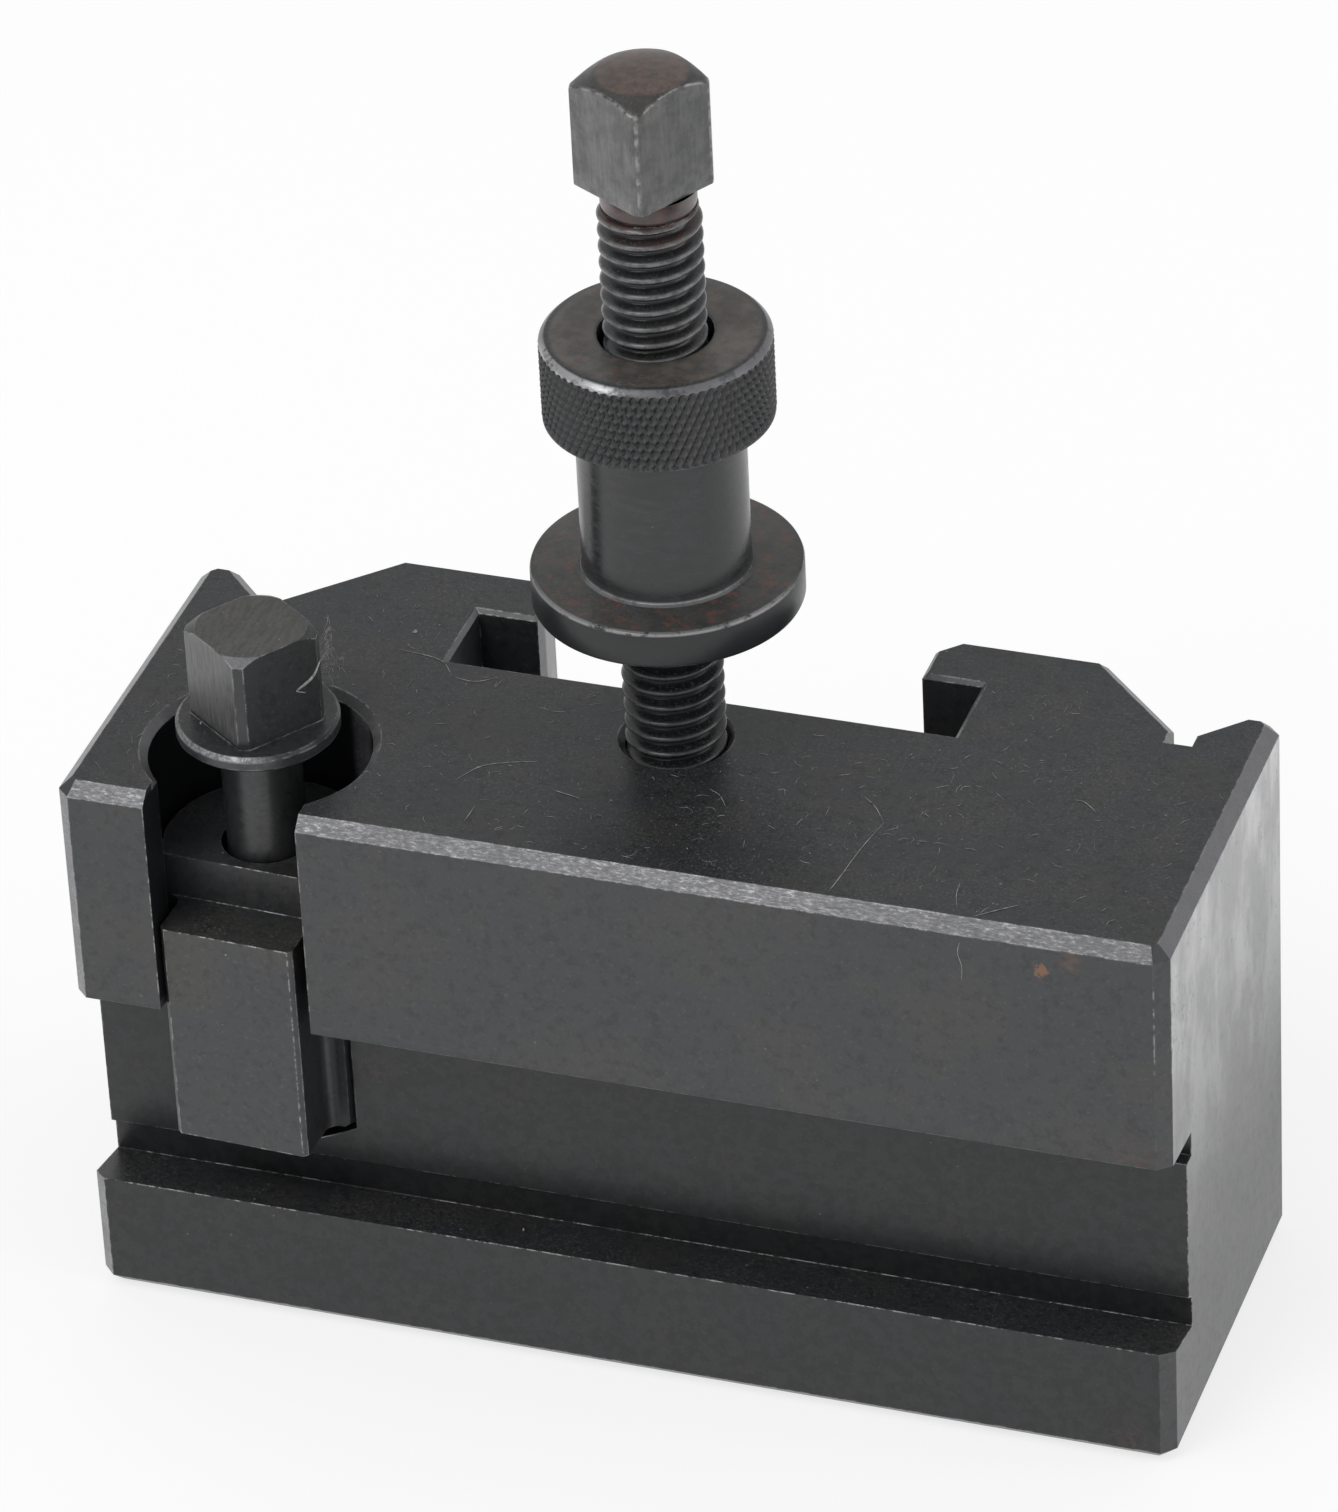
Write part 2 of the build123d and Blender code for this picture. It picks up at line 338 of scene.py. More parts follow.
def knurl_cut(angle, height):
    """Depth of the knurl here: two sets of vee grooves that cross."""
    lean = math.tan(math.radians(KNURL_LEAN)) * height / KNURL_RADIUS
    depth = 0.0
    for hand, share in KNURL_HANDS:
        phase = KNURL_TURNS * (angle + hand * lean) / (2 * math.pi)
        away = abs(phase - round(phase)) * 2
        depth = max(depth, share * min(1.0, max(0.0, 1.15 * (0.78 - away))))
    return depth


def knurl_rows():
    """Rows round the knurled head, shallower near its two ends."""
    lowest = KNURL_FOOT + 0.35
    highest = NUT_TOP - 0.45
    rows = []
    for level in range(KNURL_LEVELS + 1):
        height = lowest + (highest - lowest) * level / KNURL_LEVELS
        edge = min(1.0, (height - lowest) / 0.25, (highest - height) / 0.18)
        row = []
        for j in range(KNURL_STEPS):
            angle = 2 * math.pi * j / KNURL_STEPS
            cut = knurl_cut(angle, height)
            radius = KNURL_RADIUS - KNURL_DEPTH * (cut * edge + 0.15 * (1 - edge))
            row.append((radius * math.cos(angle), STUD_Y + radius * math.sin(angle), height))
        rows.append(row)
    return rows


def make_nut():
    bore_end = (NUT_BORE_RADIUS, COUNTERBORE_FLOOR - 2.5)
    below = [
        (SLEEVE_RADIUS - 0.2, KNURL_FOOT), (KNURL_RADIUS - 0.7, KNURL_FOOT),
        (KNURL_RADIUS - 0.5, KNURL_FOOT + 0.08),
    ]
    above = [
        (KNURL_RADIUS - 0.12, NUT_TOP - 0.33), (KNURL_RADIUS - 0.38, NUT_TOP - 0.08),
        (KNURL_RADIUS - 0.5, NUT_TOP), (7.4, NUT_TOP), (6.2, NUT_TOP), (5.2, NUT_TOP),
        (COUNTERBORE_RADIUS + 0.25, NUT_TOP), (COUNTERBORE_RADIUS + 0.07, NUT_TOP - 0.06),
        (COUNTERBORE_RADIUS, NUT_TOP - 0.25), (COUNTERBORE_RADIUS, COUNTERBORE_FLOOR),
        (NUT_BORE_RADIUS, COUNTERBORE_FLOOR), bore_end,
    ]
    lower = eased([
        bore_end, (NUT_BORE_RADIUS, NUT_FOOT), (FLANGE_RADIUS, NUT_FOOT), (FLANGE_RADIUS, FLANGE_TOP),
        (SLEEVE_RADIUS, FLANGE_TOP), (SLEEVE_RADIUS, KNURL_FOOT + 0.1),
    ], FLANGE_EASE)
    points, faces = [], []
    add_rows(points, faces, stud_rings(below, KNURL_STEPS) + knurl_rows() + stud_rings(above, KNURL_STEPS))
    add_rows(points, faces, stud_rings(lower, SLEEVE_STEPS))
    mesh = bpy.data.meshes.new("knurled_nut")
    mesh.from_pydata(points, [], faces)
    turn_faces_out(mesh)
    nut = finished("knurled_nut", mesh, 38)
    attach(nut, "height_nut")
    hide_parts("height_nut")
    return nut


# ======== materials ========

BEVEL_SAMPLES = 4
GRAIN_STRENGTH = 0.45
GRAIN_DEPTH = 0.010
UP = (0, 0, 1)

BLUE_BLACK = (0.024, 0.027, 0.031)
BROWN_BLACK = (0.036, 0.034, 0.030)
DEEP_BLACK = (0.008, 0.009, 0.010)
GROOVE_SHADE_BLACK = (0.003, 0.003, 0.004)
WORN_AND_HIGHLIGHT_STEEL = (0.50, 0.50, 0.51)
RUBBED_AND_HIGHLIGHT_GREY = (0.20, 0.20, 0.215)
BRUSHED_AND_LIT_GREY = (0.150, 0.147, 0.147)
BRUSHED_AND_LIT_DARK = (0.095, 0.094, 0.092)
PATINA_AND_REFLECTION_GREY = (0.54, 0.54, 0.55)
OLIVE_FILM = (0.090, 0.085, 0.074)
OLIVE_GREY = (0.085, 0.082, 0.072)
OLIVE_BROWN = (0.118, 0.106, 0.092)
BROWN_FILM = (0.125, 0.088, 0.072)
DULL_BROWN = (0.070, 0.062, 0.056)
DUST = (0.25, 0.252, 0.243)
RUST = (0.17, 0.078, 0.035)
RED_RUST = (0.150, 0.058, 0.042)
DULL_RUST = (0.090, 0.042, 0.034)
DARK_RUST = (0.075, 0.036, 0.028)
LINT_DARK = (0.22, 0.22, 0.215)
LINT_PALE = (0.46, 0.46, 0.45)


class Paint:
    """Short names for building one material's nodes, in object space."""

    def __init__(self, name):
        self.material = bpy.data.materials.new(name)
        self.material.use_nodes = True
        self.tree = self.material.node_tree
        self.shader = self.tree.nodes["Principled BSDF"]
        coordinates = self.tree.nodes.new("ShaderNodeTexCoord")
        self.place = coordinates.outputs["Object"]
        self.facing = coordinates.outputs["Normal"]

    def put(self, value, socket):
        """Links a node's output to a socket, or sets a plain value on it."""
        if isinstance(value, bpy.types.NodeSocket):
            self.tree.links.new(value, socket)
        else:
            socket.default_value = value

    def math(self, operation, a, b=0.0, c=0.0, clamp=False):
        node = self.tree.nodes.new("ShaderNodeMath")
        node.operation = operation
        node.use_clamp = clamp
        for value, socket in zip((a, b, c), node.inputs):
            self.put(value, socket)
        return node.outputs[0]

    def vector(self, operation, a, b=(0, 0, 0)):
        node = self.tree.nodes.new("ShaderNodeVectorMath")
        node.operation = operation
        self.put(a, node.inputs[0])
        self.put(b, node.inputs[1])
        gives_number = operation in ("DOT_PRODUCT", "DISTANCE", "LENGTH")
        return node.outputs["Value" if gives_number else "Vector"]

    def axis(self, vector, name):
        node = self.tree.nodes.new("ShaderNodeSeparateXYZ")
        self.put(vector, node.inputs[0])
        return node.outputs[name]

    def about(self, x, y):
        """Place from the upright line through (x, y), and distance from it."""
        place = self.vector("SUBTRACT", self.place, (x * MM, y * MM, 0.0))
        return place, self.vector("LENGTH", self.vector("MULTIPLY", place, (1, 1, 0)))

    def mapped(self, stretch=(1, 1, 1), turn=(0, 0, 0), shift=0.0):
        """Place turned, stretched and moved, so that no two patterns are alike."""
        mapping = self.tree.nodes.new("ShaderNodeMapping")
        self.put(self.place, mapping.inputs["Vector"])
        mapping.inputs["Rotation"].default_value = [math.radians(t) for t in turn]
        mapping.inputs["Scale"].default_value = stretch
        mapping.inputs["Location"].default_value = (shift, shift * 0.7, shift * 0.3)
        return mapping.outputs[0]

    def noise(self, size, detail=3.0, rough=0.55, **mapping):
        """Noise with features about size millimetres across."""
        node = self.tree.nodes.new("ShaderNodeTexNoise")
        self.put(self.mapped(**mapping), node.inputs["Vector"])
        node.inputs["Scale"].default_value = 1 / (size * MM)
        node.inputs["Detail"].default_value = detail
        node.inputs["Roughness"].default_value = rough
        return node.outputs[0]

    def specks(self, spacing, radius, share, shift):
        """Small spots about spacing millimetres apart; this share of the cells have one."""
        cells = self.tree.nodes.new("ShaderNodeTexVoronoi")
        self.put(self.mapped(shift=shift), cells.inputs["Vector"])
        cells.inputs["Scale"].default_value = 1 / (spacing * MM)
        near = self.band(cells.outputs["Distance"], radius / spacing, radius / spacing * 0.5)
        chosen = self.math("GREATER_THAN", self.axis(cells.outputs["Color"], "X"), 1 - share)
        return self.math("MULTIPLY", near, chosen)

    def band(self, value, low, high):
        """0 at low, 1 at high, smooth between."""
        node = self.tree.nodes.new("ShaderNodeMapRange")
        node.interpolation_type = "SMOOTHSTEP"
        self.put(value, node.inputs["Value"])
        flip = low > high
        node.inputs["From Min"].default_value = min(low, high)
        node.inputs["From Max"].default_value = max(low, high)
        node.inputs["To Min"].default_value = 1.0 if flip else 0.0
        node.inputs["To Max"].default_value = 0.0 if flip else 1.0
        return node.outputs[0]

    def ramp(self, value, low, high):
        """The same for a length, with both ends in millimetres."""
        return self.band(value, low * MM, high * MM)

    def beyond(self, place, direction, low, high):
        """The same for how far a place lies in a direction."""
        return self.ramp(self.vector("DOT_PRODUCT", place, direction), low, high)

    def near(self, point, low, high):
        """1 close to a point, fading to 0."""
        place = tuple(c * MM for c in point)
        return self.ramp(self.vector("DISTANCE", self.place, place), high, low)

    def toward(self, direction, low, high):
        """1 where the surface faces this direction."""
        unit = tuple(Vector(direction).normalized())
        return self.band(self.vector("DOT_PRODUCT", self.facing, unit), low, high)

    def times(self, result, *others):
        for value in others:
            result = self.math("MULTIPLY", result, value, clamp=True)
        return result

    def most(self, result, *others):
        for value in others:
            result = self.math("MAXIMUM", result, value)
        return result

    def outside(self, value):
        """1 where this mask is 0."""
        return self.math("SUBTRACT", 1.0, value, clamp=True)

    def colour(self, amount, first, second):
        """Blend of two colours."""
        node = self.tree.nodes.new("ShaderNodeMix")
        node.data_type = "RGBA"
        self.put(amount, node.inputs[0])
        for value, socket in ((first, node.inputs[6]), (second, node.inputs[7])):
            if isinstance(value, tuple):
                value = (*value, 1.0)
            self.put(value, socket)
        return node.outputs[2]

    def value(self, amount, first, second):
        """Blend of two numbers."""
        node = self.tree.nodes.new("ShaderNodeMix")
        self.put(amount, node.inputs[0])
        self.put(first, node.inputs[2])
        self.put(second, node.inputs[3])
        return node.outputs[0]

    def carried(self, name):
        """A value stored on the mesh's points."""
        node = self.tree.nodes.new("ShaderNodeAttribute")
        node.attribute_name = name
        return node.outputs["Fac"]

    def rounded(self, radius):
        """Normal of the surface with its edges rounded."""
        bevel = self.tree.nodes.new("ShaderNodeBevel")
        bevel.samples = BEVEL_SAMPLES
        bevel.inputs["Radius"].default_value = radius * MM
        return bevel.outputs[0]

    def edges(self, radius):
        """1 along edges, where the rounded normal differs from the true one."""
        geometry = self.tree.nodes.new("ShaderNodeNewGeometry")
        same = self.vector("DOT_PRODUCT", self.rounded(radius), geometry.outputs["Normal"])
        return self.band(same, 0.998, 0.90)

    def bump(self, height, strength, depth, rounding=None):
        node = self.tree.nodes.new("ShaderNodeBump")
        node.inputs["Strength"].default_value = strength
        node.inputs["Distance"].default_value = depth * MM
        self.put(height, node.inputs["Height"])
        if rounding:
            self.put(self.rounded(rounding), node.inputs["Normal"])
        self.put(node.outputs[0], self.shader.inputs["Normal"])


class Oxide(Paint):
    """Black oxide steel: blotched colour, fine grain, rubbed edges with painted highlights, and settled
    dust.
    """

    def __init__(self, name, edge_radius=0.2, edge_amount=0.8, brown=0.6, dust=0.5):
        super().__init__(name)
        broad = self.band(self.noise(7.0, 5, 0.62), 0.44, 0.64)
        self.fine = self.noise(0.8, 5, 0.68, shift=3.0)
        self.grain = self.noise(0.13, 3, 0.65, shift=7.0)
        base = self.colour(self.times(broad, brown), BLUE_BLACK, BROWN_BLACK)
        dark = self.band(self.fine, 0.48, 0.68)
        base = self.colour(self.times(dark, 0.75), base, DEEP_BLACK)
        light = self.band(self.noise(0.40, 4, 0.7, shift=13.0), 0.54, 0.72)
        self.base = self.colour(self.times(light, 0.45), base, OLIVE_FILM)
        self.films = []  # (amount, colour) laid over the base in turn
        breakup = self.band(self.noise(1.1, 4, 0.75, shift=19.0), 0.44, 0.58)
        # Bright bare steel along edges: rubbed wear on convex edges, and painted highlight along concave
        # corners, which the bevel mask also finds.
        self.wear_and_highlight = self.times(self.edges(edge_radius), breakup, edge_amount)
        self.dusty = self.settled_dust(dust)
        self.gloss = None  # where the surface is smoother
        self.shelter = None  # where it reflects less

    def settled_dust(self, amount):
        level = self.toward(UP, 0.6, 0.95)
        small = self.specks(0.55, 0.055, 0.16, shift=23.0)
        large = self.specks(1.9, 0.12, 0.20, shift=29.0)
        hazy = self.band(self.noise(0.26, 5, 0.82, shift=31.0), 0.50, 0.72)
        drifts = self.value(self.band(self.noise(6.0, 3, 0.6, shift=33.0), 0.35, 0.65), 0.35, 1.0)
        haze = self.times(hazy, level, drifts, 0.75)
        return self.times(self.value(level, 0.35, 1.0), self.most(small, large, haze), amount)

    def film(self, amount, colour):
        """Another layer of colour over those before it."""
        self.films.append((amount, colour))

    def close(self, rounding=0.10):
        """Joins the layers and connects them to the shader."""
        colour = self.base
        for amount, tint in self.films:
            colour = self.colour(amount, colour, tint)
        colour = self.colour(self.wear_and_highlight, colour, WORN_AND_HIGHLIGHT_STEEL)
        colour = self.colour(self.dusty, colour, DUST)
        self.put(colour, self.shader.inputs["Base Color"])
        metal = self.math("SUBTRACT", self.wear_and_highlight, self.dusty, clamp=True)
        self.put(metal, self.shader.inputs["Metallic"])
        rough = self.value(self.fine, 0.27, 0.42)
        if self.gloss is not None:
            rough = self.value(self.gloss, rough, 0.15)
        rough = self.value(self.wear_and_highlight, rough, 0.36)
        rough = self.value(self.dusty, rough, 0.9)
        self.put(rough, self.shader.inputs["Roughness"])
        if self.shelter is not None:
            self.put(self.value(self.shelter, 0.5, 0.12), self.shader.inputs["Specular IOR Level"])
        height = self.math("ADD", self.grain, self.math("MULTIPLY", self.fine, 0.7))
        self.bump(height, GRAIN_STRENGTH, GRAIN_DEPTH, rounding)
        self.shader.inputs["IOR"].default_value = 1.6
        return self.material


def holder_material():
    paint = Oxide("holder_oxide", dust=0.75)
    along, depth, height = (paint.axis(paint.place, name) for name in "XYZ")
    offset, across = paint.about(*BORE_PLACE)
    darken_seat(paint, depth, height, across)
    bright = chamfer_wear_and_highlights(paint, along, depth, height, paint.axis(offset, "X"), across)
    quiet_edges(paint, along, depth, height)
    cloud_right_end(paint, along, depth, height)
    rust_front(paint)
    paint.wear_and_highlight = paint.most(paint.wear_and_highlight, bright)
    return paint.close()


def darken_seat(paint, depth, height, across):
    """Painted shade: darker, less reflective front below the upper lip, and darker, less reflective walls
    of the clamp's bore and slot.
    """
    below_lip = paint.times(paint.ramp(height, 29, 27), paint.toward((0, -1, 0), 0.8, 0.95))
    blotched = paint.value(paint.band(paint.fine, 0.42, 0.60), 0.65, 1.0)
    paint.film(paint.times(below_lip, blotched), DEEP_BLACK)
    walls = paint.times(
        paint.ramp(across, 11.9, 11.6),
        paint.outside(paint.toward(UP, 0.3, 0.5)),
        paint.ramp(depth, BLOCK_FRONT + 0.055, BLOCK_FRONT + 0.155),
        paint.ramp(height, BLOCK_TOP - 0.3, BLOCK_TOP - 0.7),
        paint.ramp(height, 28.9, 29.1),
    )
    paint.film(paint.times(walls, 0.9), DEEP_BLACK)
    paint.shelter = paint.most(walls, paint.times(below_lip, 0.30))


def chamfer_wear_and_highlights(paint, along, depth, height, bore_along, across):
    """Greys the top's chamfers, streaked along the front one, and the left of the bore's rim: rubbed wear
    and painted highlight, fuller on the left; gives where bare steel shows.
    """
    streaks = paint.noise(0.20, 4, 0.8, stretch=(0.30, 1, 1), shift=37.0)
    patches = paint.noise(3.2, 4, 0.65, stretch=(0.5, 1, 1), shift=41.0)
    rubbed_and_highlight = paint.value(paint.band(streaks, 0.36, 0.60), 0.30, 1.0)
    rubbed_and_highlight = paint.times(rubbed_and_highlight, paint.value(paint.band(patches, 0.34, 0.6), 0.60, 1.0))
    short_of_end = paint.times(
        paint.ramp(along, BLOCK_END - 1.1, BLOCK_END - 1.35),
        paint.ramp(depth, BLOCK_FRONT + 1.475, BLOCK_FRONT + 1.175),
    )
    front = paint.times(paint.toward((0, -1, 1), 0.97, 0.995), rubbed_and_highlight, short_of_end)
    left = paint.most(
        paint.toward((-1, -1, 0), 0.97, 0.995),
        paint.toward((-1, 0, 1), 0.97, 0.995),
    )
    right = paint.times(paint.toward((1, 0, 1), 0.97, 0.995), paint.value(rubbed_and_highlight, 0.45, 0.7))
    rim = paint.times(
        paint.ramp(across, BORE_RADIUS + 0.95, BORE_RADIUS + 0.75),
        paint.ramp(height, BLOCK_TOP - 0.8, BLOCK_TOP - 0.6),
        paint.toward(UP, 0.9, 0.5),
        paint.ramp(bore_along, 4.0, -6.0),
        paint.value(rubbed_and_highlight, 0.2, 0.8),
    )
    paint.film(paint.most(front, paint.times(left, rubbed_and_highlight), right, rim), RUBBED_AND_HIGHLIGHT_GREY)
    return paint.times(front, paint.band(streaks, 0.54, 0.64), 0.55)


def quiet_edges(paint, along, depth, height):
    """Less bright edge wear and painted highlight on the upper lip's foot, the front's right corner and
    the recess beside the clamp.
    """
    lip = paint.times(paint.ramp(height, 30, 29.4), paint.ramp(height, 26, 26.6))
    corner = paint.times(
        paint.ramp(along, BLOCK_END - 1.75, BLOCK_END - 1.35),
        paint.ramp(depth, BLOCK_FRONT + 1.575, BLOCK_FRONT + 1.175),
        paint.most(paint.ramp(height, 37, 36), paint.ramp(height, 44.5, 45.5)),
    )
    recess = paint.times(
        paint.ramp(height, 29, 28),
        paint.ramp(along, -26, -25),
        paint.ramp(along, -18, -19),
    )
    paint.wear_and_highlight = paint.times(
        paint.wear_and_highlight,
        paint.value(lip, 1.0, 0.25),
        paint.value(corner, 1.0, 0.15),
        paint.value(recess, 1.0, 0.2),
    )


def cloud_right_end(paint, along, depth, height):
    """Cloudy grey patina on the right end and the T-slot lip that faces the same way, with painted light:
    the lip's grey, and more grey towards the top and back as painted reflection; and dark pits.
    """
    slot_lip = paint.times(
        paint.ramp(depth, 14.0, 14.5),
        paint.ramp(along, -8, -9),
        paint.ramp(along, -22, -21),
    )
    end = paint.times(
        paint.toward((1, 0, 0), 0.95, 0.99),
        paint.most(paint.ramp(along, BLOCK_END - 0.25, BLOCK_END - 0.05), slot_lip),
    )
    clouds = paint.noise(7.5, 3, 0.52, stretch=(1, 1.25, 0.6), turn=(18, 0, 0), shift=44.5)
    fine = paint.noise(1.1, 4, 0.7, stretch=(1, 1, 0.35), shift=45.5)
    clouds = paint.math("ADD", paint.math("MULTIPLY", clouds, 0.8), paint.math("MULTIPLY", fine, 0.2))
    clouds = paint.value(paint.band(clouds, 0.41, 0.59), 0.56, 1.0)
    # Painted reflection: the grey grows from none low down to full near the top, a little fuller towards
    # the back.
    backward = paint.value(paint.ramp(depth, -12, 16), 0.88, 1.0)
    higher = paint.value(paint.ramp(height, 10, 50), 0.0, backward)
    paint.film(paint.times(end, clouds, higher), PATINA_AND_REFLECTION_GREY)

    near_front = paint.times(paint.near((BLOCK_END, -17.0, 41.0), 1.0, 6.5), 0.5)
    ragged = paint.noise(0.32, 4, 0.7, stretch=(1, 1, 0.45), shift=47.0)
    ragged = paint.math("ADD", ragged, paint.math("MULTIPLY", near_front, 0.12))
    groups = paint.band(paint.noise(3.0, 3, 0.6, shift=48.0), 0.42, 0.6)
    pits = paint.times(
        end,
        paint.band(ragged, 0.585, 0.66),
        paint.math("ADD", near_front, groups, clamp=True),
    )
    paint.film(paint.times(pits, 0.75), DEEP_BLACK)


def rust_front(paint):
    """One orange spot with its stain on the front, and faint smears."""
    ragged = paint.noise(0.45, 4, 0.7, shift=53.0)
    away = paint.vector("DISTANCE", paint.place, (34.7 * MM, BLOCK_FRONT * MM, 45.2 * MM))
    away = paint.math("ADD", away, paint.math("MULTIPLY", ragged, 1.5 * MM))
    spot = paint.ramp(away, 1.42, 1.15)
    stain = paint.times(
        paint.near((36.9, BLOCK_FRONT, 46.4), 0.3, 1.5),
        paint.band(paint.noise(0.5, 3, 0.6, stretch=(0.4, 1, 1.6), shift=54.0), 0.42, 0.58),
        0.30,
    )
    smears = paint.most(
        paint.near((41.5, BLOCK_FRONT, 29.4), 0.3, 3.2),
        paint.near((-21.6, -13.975, 22.2), 0.2, 2.2),
        paint.near((41.6, BLOCK_FRONT, 1.2), 0.3, 3.5),
    )
    paint.film(paint.times(smears, paint.band(ragged, 0.42, 0.62), 0.5), DARK_RUST)
    paint.film(paint.most(spot, stain), RUST)


def stud_material():
    paint = Oxide("stud_oxide", edge_radius=0.12, edge_amount=0.55, brown=0.9, dust=0.5)
    _, radius = paint.about(0.0, STUD_Y)
    height = paint.axis(paint.place, "Z")
    head = paint.ramp(height, HEAD_FOOT - 0.3, HEAD_FOOT + 0.1)
    level = paint.toward(UP, 0.35, 0.6)

    # brushed flats of the head, the left flat painted lighter as the lit side
    brush = paint.noise(0.32, 4, 0.7, stretch=(1, 1, 0.13), shift=57.0)
    brush = paint.value(paint.band(brush, 0.32, 0.66), 0.55, 1.0)
    blotch = paint.value(paint.band(paint.noise(1.8, 4, 0.65, shift=59.0), 0.36, 0.62), 0.45, 1.0)
    # Painted light: the left flat, facing the key light, takes more of the grey.
    left = paint.value(paint.toward((-0.5, -0.87, 0), 0.2, 0.95), 0.6, 1.0)
    paint.film(paint.times(head, paint.outside(level), brush, blotch, left, 0.95), BRUSHED_AND_LIT_GREY)

    # brown film on the domed top, darker round its edge
    crown = paint.ramp(radius, CROWN_FOOT_RADIUS + 0.1, CROWN_FOOT_RADIUS - 0.25)
    mottled = paint.band(paint.noise(0.8, 4, 0.7, shift=61.0), 0.36, 0.64)
    paint.film(paint.times(head, level, paint.value(mottled, 0.10, 0.45)), DULL_BROWN)
    paint.film(paint.times(head, level, crown, paint.value(mottled, 0.45, 0.95)), BROWN_FILM)

    # rusty neck and first turn
    upper = paint.ramp(height, THREAD_TOP - 3.2, THREAD_TOP - 0.6)
    rusty = paint.times(upper, paint.outside(head), paint.value(mottled, 0.25, 0.85))
    paint.film(rusty, DARK_RUST)

    # thread: roots painted black as shade, crests grey as rubbed wear and painted highlight, and painted
    # shade below the nut, where the crests are greyed less
    threaded = paint.ramp(height, HEAD_FOOT, THREAD_TOP - 0.3)
    crest = paint.times(
        paint.ramp(radius, CREST_RADIUS - 0.26, CREST_RADIUS - 0.03),
        threaded,
        paint.value(paint.band(paint.noise(0.9, 4, 0.7, shift=67.0), 0.36, 0.62), 0.3, 1.0),
        paint.value(paint.ramp(height, 60, 84), 0.30, 1.0),
    )
    root = paint.ramp(radius, ROOT_RADIUS + 0.55, ROOT_RADIUS + 0.1)
    below = paint.ramp(height, NUT_FOOT + 1.5, NUT_FOOT - 0.5)
    paint.film(paint.times(threaded, paint.most(root, below), 0.8), DEEP_BLACK)
    paint.film(paint.times(crest, 0.75), RUBBED_AND_HIGHLIGHT_GREY)
    paint.gloss = paint.times(threaded, 0.7)
    paint.shelter = paint.times(threaded, root, paint.value(below, 0.35, 0.9))

    # worn edges of the head, and painted highlights left of its corners
    broken = paint.band(paint.noise(0.8, 4, 0.7, shift=69.0), 0.40, 0.60)
    paint.wear_and_highlight = paint.most(paint.wear_and_highlight, paint.times(paint.carried("rubbed_and_highlight"), broken, 0.85))
    return paint.close(rounding=0.06)


def nut_material():
    paint = Oxide("nut_oxide", edge_radius=0.16, edge_amount=0.7, brown=0.5, dust=0.5)
    place, radius = paint.about(0.0, STUD_Y)
    height = paint.axis(paint.place, "Z")

    # smeared and rust-stained tops of the head and the flange
    level = paint.toward(UP, 0.97, 0.995)
    top = paint.times(level, paint.ramp(height, NUT_TOP - 0.3, NUT_TOP - 0.1))
    flange = paint.times(level, paint.ramp(height, FLANGE_TOP + 0.3, FLANGE_TOP + 0.1))
    smear = paint.band(paint.noise(2.2, 5, 0.65, shift=71.0), 0.35, 0.65)
    stains = paint.band(paint.noise(1.3, 4, 0.7, shift=73.0), 0.50, 0.66)
    paint.film(paint.times(top, paint.value(smear, 0.35, 1.0)), OLIVE_BROWN)
    paint.film(paint.times(flange, paint.value(smear, 0.30, 0.85)), OLIVE_FILM)
    paint.film(paint.times(flange, stains, 0.95), RED_RUST)
    paint.film(paint.times(top, stains, 0.55), DULL_RUST)

    # dark sleeve and flange side
    sleeve = paint.times(
        paint.ramp(height, FLANGE_TOP + 0.4, FLANGE_TOP + 0.8),
        paint.ramp(height, KNURL_FOOT + 0.05, KNURL_FOOT - 0.1),
    )
    streaky = paint.band(paint.noise(1.0, 4, 0.7, stretch=(0.5, 0.5, 1.6), shift=77.0), 0.36, 0.62)
    flange_side = paint.times(
        paint.ramp(radius, FLANGE_RADIUS - 0.15, FLANGE_RADIUS - 0.05),
        paint.ramp(height, FLANGE_TOP + 0.1, FLANGE_TOP),
    )
    paint.film(paint.times(sleeve, paint.value(streaky, 0.45, 0.95)), DEEP_BLACK)
    paint.film(paint.times(flange_side, 0.85), DEEP_BLACK)
    paint.gloss = paint.times(sleeve, paint.value(streaky, 0.30, 0.70))
    paint.shelter = paint.times(flange_side, 0.25)

    # knurl grooves painted black as shade; its ridges show no edge wear
    knurl = paint.times(
        paint.ramp(height, KNURL_FOOT + 0.2, KNURL_FOOT + 0.5),
        paint.ramp(height, NUT_TOP - 0.3, NUT_TOP - 0.5),
        paint.ramp(radius, 7.0, 7.5),
    )
    pits = paint.ramp(radius, KNURL_RADIUS - 0.03, KNURL_RADIUS - KNURL_DEPTH * 0.65)
    paint.film(paint.times(knurl, pits, 0.95), GROOVE_SHADE_BLACK)
    paint.wear_and_highlight = paint.times(paint.wear_and_highlight, paint.outside(knurl))
    nut_rim_wear_and_highlights(paint, place, radius, height)
    return paint.close(rounding=0.05)


